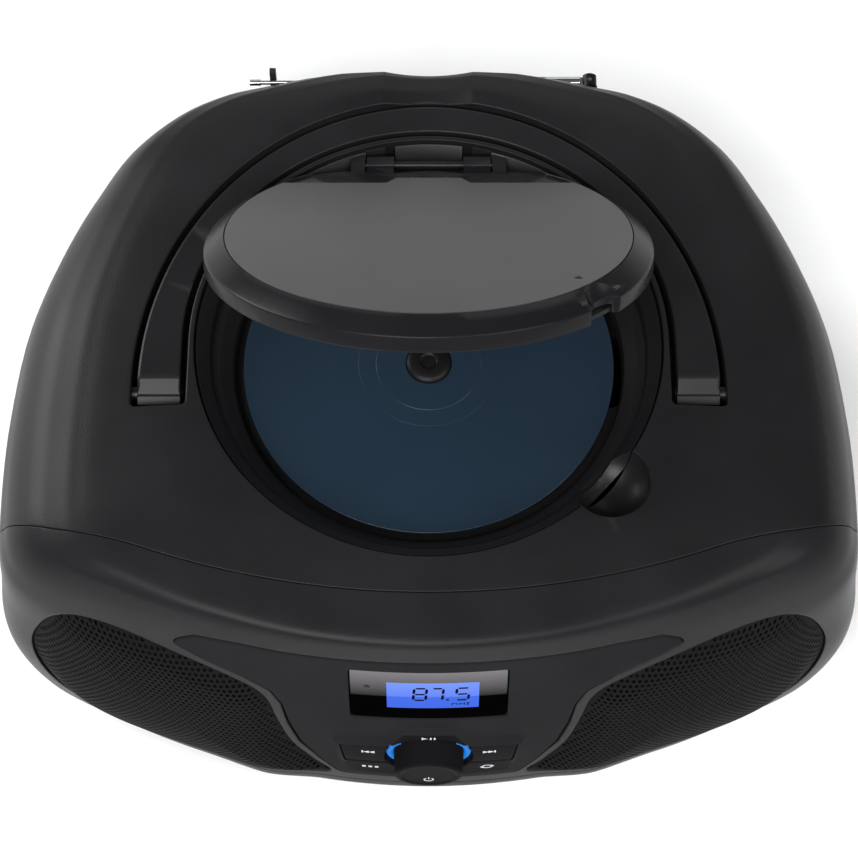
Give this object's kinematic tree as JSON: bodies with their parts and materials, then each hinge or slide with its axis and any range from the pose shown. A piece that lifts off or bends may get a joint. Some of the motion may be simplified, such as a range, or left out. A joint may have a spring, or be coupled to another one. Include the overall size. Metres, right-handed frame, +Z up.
{
  "type": "boombox",
  "caption": "Rounded tabletop boombox with a top-loading disc well under a hinged round lid, folding bow handle, front speakers, backlit display, ring-lit knob and push keys.",
  "frame": {"origin": "middle of the bounding box in plan, on the surface that the feet stand on", "axes": "+X to the listener's right along the body's width, -Y out of the front, +Z up"},
  "size_m": [0.2794, 0.2324, 0.1924],
  "materials": {
    "case_plastic": "fine-grained satin moulding",
    "grille_metal": "black powder-coated perforated sheet",
    "lid_plate": "satin grey",
    "inner_plastic": "black moulding",
    "key_plastic": "satin black",
    "window": "gloss black lens",
    "display": "backlit blue",
    "light_guide": "lit blue diffuser",
    "disc": "dark blue lacquer",
    "rubber": "matt",
    "bright_steel": "polished",
    "plated_steel": "zinc plated",
    "cone_paper": "black doped paper",
    "ferrite": "dark grey",
    "circuit_board": "green solder mask",
    "lens_glass": "coated lens",
    "gear_plastic": "natural acetal"
  },
  "bodies": {
    "cabinet": {"base_case": "case_plastic", "front_case": "case_plastic", "upper_case": "case_plastic", "control_panel": "case_plastic", "cd_well": "inner_plastic", "rubber_feet": "rubber", "case_screws": "plated_steel", "speaker_grille_left": "grille_metal", "speaker_grille_right": "grille_metal", "speaker_baffle_left": "inner_plastic", "speaker_baffle_right": "inner_plastic", "speaker_basket_left": "plated_steel", "speaker_basket_right": "plated_steel", "speaker_magnet_left": "ferrite", "speaker_magnet_right": "ferrite", "speaker_cone_left": "cone_paper", "speaker_cone_right": "cone_paper", "dust_cap_left": "cone_paper", "dust_cap_right": "cone_paper", "display_window": "window", "lcd_module": "display", "front_board": "circuit_board", "tact_switches": "inner_plastic", "led_ring": "light_guide", "volume_encoder": "plated_steel", "lid_hinge_pin": "plated_steel", "spindle_motor": "plated_steel", "drive_chassis": "inner_plastic", "damper_grommets": "rubber", "guide_rods": "bright_steel", "sled_motor": "plated_steel", "handle_pivots": "plated_steel", "main_board": "circuit_board", "transformer": "ferrite", "mains_inlet": "inner_plastic", "audio_jacks": "inner_plastic", "battery_contacts": "bright_steel"},
    "lid": {"lid_shell": "inner_plastic", "lid_top_plate": "lid_plate", "lid_inner_cover": "inner_plastic"},
    "handle": {"handle_frame": "case_plastic", "handle_cover": "case_plastic"},
    "disc": {"compact_disc": "disc", "disc_hub": "inner_plastic"},
    "knob_stem": {"encoder_plunger": "plated_steel"},
    "knob": {"volume_knob": "key_plastic"},
    "play_key": {"play_button": "key_plastic"},
    "previous_key": {"previous_button": "key_plastic"},
    "next_key": {"next_button": "key_plastic"},
    "function_key": {"function_button": "key_plastic"},
    "repeat_key": {"repeat_button": "key_plastic"},
    "sled": {"laser_sled": "inner_plastic", "laser_lens": "lens_glass"},
    "wheel": {"reduction_gear": "gear_plastic"},
    "pinion": {"motor_pinion": "gear_plastic"},
    "door": {"battery_door": "case_plastic"},
    "antenna_swivel": {"antenna_knuckle": "inner_plastic"},
    "antenna_arm": {"antenna_tube": "bright_steel"},
    "antenna_tip": {"antenna_rod": "bright_steel"}
  },
  "joints": [
    {"name": "lid_hinge", "type": "hinge", "parent": "cabinet", "child": "lid", "pos_m": [0, 0.072, 0.11], "axis": [1, 0, 0], "range_deg": [0, 37.2]},
    {"name": "handle_hinge", "type": "hinge", "parent": "cabinet", "child": "handle", "pos_m": [0, -0.012, 0.1075], "axis": [1, 0, 0], "range_deg": [0, 92]},
    {"name": "disc_spin", "type": "hinge", "parent": "cabinet", "child": "disc", "pos_m": [0, 0.004, 0.098], "axis": [0, 0, 1], "continuous": true},
    {"name": "knob_push", "type": "slide", "parent": "cabinet", "child": "knob_stem", "axis": [0, 1, 0], "range_m": [0, 0.0008], "stiffness_N_per_m": 900, "springref_m": -0.0002},
    {"name": "knob_turn", "type": "hinge", "parent": "knob_stem", "child": "knob", "pos_m": [0, -0.111, 0.0382], "axis": [0, 1, 0], "continuous": true},
    {"name": "play_press", "type": "slide", "parent": "cabinet", "child": "play_key", "axis": [0, 1, 0], "range_m": [0, 0.0007], "stiffness_N_per_m": 900, "springref_m": -0.0002},
    {"name": "previous_press", "type": "slide", "parent": "cabinet", "child": "previous_key", "axis": [0, 1, 0], "range_m": [0, 0.0007], "stiffness_N_per_m": 900, "springref_m": -0.0002},
    {"name": "next_press", "type": "slide", "parent": "cabinet", "child": "next_key", "axis": [0, 1, 0], "range_m": [0, 0.0007], "stiffness_N_per_m": 900, "springref_m": -0.0002},
    {"name": "function_press", "type": "slide", "parent": "cabinet", "child": "function_key", "axis": [0, 1, 0], "range_m": [0, 0.0007], "stiffness_N_per_m": 900, "springref_m": -0.0002},
    {"name": "repeat_press", "type": "slide", "parent": "cabinet", "child": "repeat_key", "axis": [0, 1, 0], "range_m": [0, 0.0007], "stiffness_N_per_m": 900, "springref_m": -0.0002},
    {"name": "sled_slide", "type": "slide", "parent": "cabinet", "child": "sled", "axis": [1, 0, 0], "range_m": [0, 0.035]},
    {"name": "wheel_turn", "type": "hinge", "parent": "cabinet", "child": "wheel", "pos_m": [0.04, -0.02532, 0.076], "axis": [0, 0, 1], "range_deg": [-360, 10]},
    {"name": "pinion_turn", "type": "hinge", "parent": "cabinet", "child": "pinion", "pos_m": [0.02465, -0.02532, 0.078], "axis": [0, 0, 1], "range_deg": [-10, 1300]},
    {"name": "door_slide", "type": "slide", "parent": "cabinet", "child": "door", "axis": [0, 1, 0], "range_m": [0, 0.06]},
    {"name": "antenna_turn", "type": "hinge", "parent": "cabinet", "child": "antenna_swivel", "pos_m": [0.05525, 0.1112, 0.101], "axis": [0, 1, 0], "range_deg": [0, 180]},
    {"name": "antenna_tilt", "type": "hinge", "parent": "antenna_swivel", "child": "antenna_arm", "pos_m": [0.05525, 0.1112, 0.101], "axis": [0, 0, -1], "range_deg": [0, 85]},
    {"name": "antenna_extend", "type": "slide", "parent": "antenna_arm", "child": "antenna_tip", "axis": [-1, 0, 0], "range_m": [0, 0.06]}
  ],
  "couplings": [
    {"joint": "wheel_turn", "follows": "sled_slide", "rad_per_m": -156.25},
    {"joint": "pinion_turn", "follows": "sled_slide", "rad_per_m": 585.94}
  ]
}
